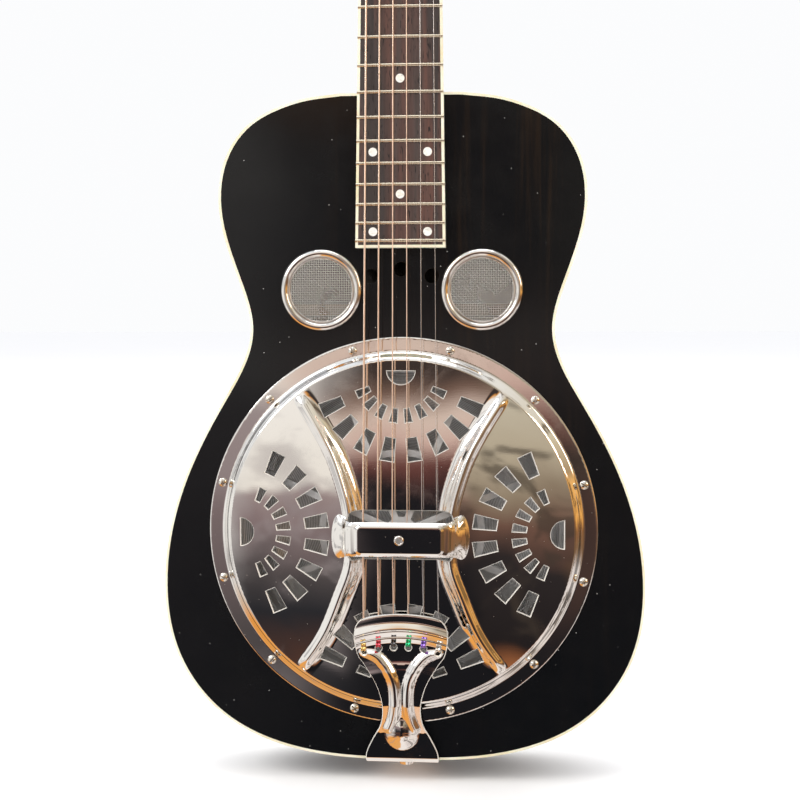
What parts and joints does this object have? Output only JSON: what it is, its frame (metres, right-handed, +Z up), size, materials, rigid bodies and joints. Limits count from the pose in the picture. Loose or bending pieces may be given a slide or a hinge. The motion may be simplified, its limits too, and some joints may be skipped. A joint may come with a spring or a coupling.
{
  "type": "resonator guitar",
  "caption": "Wooden-bodied resonator guitar with a round neck, a fan-cut domed cover plate over an aluminium cone and spider, screened sound holes, palm rest and slotted tailpiece.",
  "frame": {"origin": "the end pin's seat: the middle of the tail, half way through the body's depth", "axes": "+Z up the neck, +Y out of the back, +X to the treble side"},
  "size_m": [0.3616, 0.115, 1.0161],
  "materials": {
    "black_lacquer": "deep gloss black lacquer over flamed wood",
    "side_lacquer": "gloss black lacquer",
    "cream_binding": "polished cream celluloid",
    "inner_wood": "bare sawn spruce",
    "well_wood": "bare laminated maple",
    "cone_aluminium": "spun satin",
    "spider_cast": "cast, as it left the mould",
    "ebony": "oiled",
    "chrome": "polished",
    "screw_steel": "polished, plated",
    "screen_wire": "woven wire, darkened",
    "bronze_winding": "phosphor bronze winding",
    "plain_steel": "bright drawn wire",
    "ball_brass": "plated in six colours",
    "neck_lacquer": "gloss black lacquer over mahogany",
    "rosewood": "open-pored, oiled",
    "pearl": "pearl",
    "fret_nickel": "crowned and polished nickel silver",
    "bone": "buffed bone",
    "head_veneer": "gloss black",
    "black_plastic": "polished",
    "rod_steel": "bare",
    "button_pearl": "pearloid",
    "gear_brass": "machined"
  },
  "bodies": {
    "root": {"soundboard": "black_lacquer", "back": "side_lacquer", "top_binding": "cream_binding", "back_binding": "cream_binding", "bass_side": "side_lacquer", "treble_side": "side_lacquer", "top_lining": "inner_wood", "back_lining": "inner_wood", "neck_block": "inner_wood", "tail_block": "inner_wood", "top_braces": "inner_wood", "back_braces": "inner_wood", "soundwell": "well_wood", "resonator_cone": "cone_aluminium", "spider_bridge": "spider_cast", "wound_strings": "bronze_winding", "plain_strings": "plain_steel", "saddles": "ebony", "coverplate": "chrome", "palm_rest": "chrome", "coverplate_screws": "screw_steel", "screen_bezels": "chrome", "screen_meshes": "screen_wire", "tailpiece": "chrome", "string_ball_ends": "ball_brass", "end_pin": "chrome", "neck": "neck_lacquer", "heel_bolts": "rod_steel", "fingerboard": "rosewood", "fingerboard_binding": "cream_binding", "position_markers": "pearl", "fret_wires": "fret_nickel", "nut": "bone", "headstock_veneer": "head_veneer", "truss_rod": "rod_steel", "truss_rod_cover": "black_plastic", "tuner_housings": "chrome", "tuner_caps": "chrome", "tuner_bushings": "chrome", "headstock_screws": "screw_steel"},
    "key_1": {"worm_shaft_1": "rod_steel", "tuner_button_1": "button_pearl"},
    "post_1": {"string_post_1": "chrome"},
    "key_2": {"worm_shaft_2": "rod_steel", "tuner_button_2": "button_pearl"},
    "post_2": {"string_post_2": "chrome"},
    "key_3": {"worm_shaft_3": "rod_steel", "tuner_button_3": "button_pearl"},
    "post_3": {"string_post_3": "chrome"},
    "key_4": {"worm_shaft_4": "rod_steel", "tuner_button_4": "button_pearl"},
    "post_4": {"string_post_4": "chrome"},
    "key_5": {"worm_shaft_5": "rod_steel", "tuner_button_5": "button_pearl"},
    "post_5": {"string_post_5": "chrome"},
    "key_6": {"worm_shaft_6": "rod_steel", "tuner_button_6": "button_pearl"},
    "post_6": {"string_post_6": "chrome"},
    "tension_screw": {"tension_screw": "screw_steel"},
    "rod_nut": {"truss_rod_nut": "gear_brass"}
  },
  "joints": [
    {"name": "key_turn_1", "type": "hinge", "parent": "root", "child": "key_1", "pos_m": [0.0235, -0.00383, 0.86213], "axis": [1, 0, 0], "continuous": true},
    {"name": "post_turn_1", "type": "hinge", "parent": "root", "child": "post_1", "pos_m": [0.0235, -0.01173, 0.85674], "axis": [0, -0.9681, 0.2504], "continuous": true},
    {"name": "key_turn_2", "type": "hinge", "parent": "root", "child": "key_2", "pos_m": [0.025, 0.00619, 0.90086], "axis": [1, 0, 0], "continuous": true},
    {"name": "post_turn_2", "type": "hinge", "parent": "root", "child": "post_2", "pos_m": [0.025, -0.00172, 0.89546], "axis": [0, -0.9681, 0.2504], "continuous": true},
    {"name": "key_turn_3", "type": "hinge", "parent": "root", "child": "key_3", "pos_m": [0.0265, 0.0162, 0.93958], "axis": [1, 0, 0], "continuous": true},
    {"name": "post_turn_3", "type": "hinge", "parent": "root", "child": "post_3", "pos_m": [0.0265, 0.0083, 0.93419], "axis": [0, -0.9681, 0.2504], "continuous": true},
    {"name": "key_turn_4", "type": "hinge", "parent": "root", "child": "key_4", "pos_m": [-0.0265, 0.0162, 0.93958], "axis": [1, 0, 0], "continuous": true},
    {"name": "post_turn_4", "type": "hinge", "parent": "root", "child": "post_4", "pos_m": [-0.0265, 0.0083, 0.93419], "axis": [0, -0.9681, 0.2504], "continuous": true},
    {"name": "key_turn_5", "type": "hinge", "parent": "root", "child": "key_5", "pos_m": [-0.025, 0.00619, 0.90086], "axis": [1, 0, 0], "continuous": true},
    {"name": "post_turn_5", "type": "hinge", "parent": "root", "child": "post_5", "pos_m": [-0.025, -0.00172, 0.89546], "axis": [0, -0.9681, 0.2504], "continuous": true},
    {"name": "key_turn_6", "type": "hinge", "parent": "root", "child": "key_6", "pos_m": [-0.0235, -0.00383, 0.86213], "axis": [1, 0, 0], "continuous": true},
    {"name": "post_turn_6", "type": "hinge", "parent": "root", "child": "post_6", "pos_m": [-0.0235, -0.01173, 0.85674], "axis": [0, -0.9681, 0.2504], "continuous": true},
    {"name": "tension_turn", "type": "hinge", "parent": "root", "child": "tension_screw", "pos_m": [0, -0.043, 0.1743], "axis": [0, -1, 0], "range_deg": [-360, 360]},
    {"name": "rod_nut_turn", "type": "hinge", "parent": "root", "child": "rod_nut", "pos_m": [0, -0.02874, 0.82954], "axis": [0, 0.0262, 0.9997], "range_deg": [-180, 180]}
  ],
  "couplings": [
    {"joint": "post_turn_1", "follows": "key_turn_1", "ratio": 0.066667},
    {"joint": "post_turn_2", "follows": "key_turn_2", "ratio": 0.066667},
    {"joint": "post_turn_3", "follows": "key_turn_3", "ratio": 0.066667},
    {"joint": "post_turn_4", "follows": "key_turn_4", "ratio": 0.066667},
    {"joint": "post_turn_5", "follows": "key_turn_5", "ratio": 0.066667},
    {"joint": "post_turn_6", "follows": "key_turn_6", "ratio": 0.066667}
  ]
}
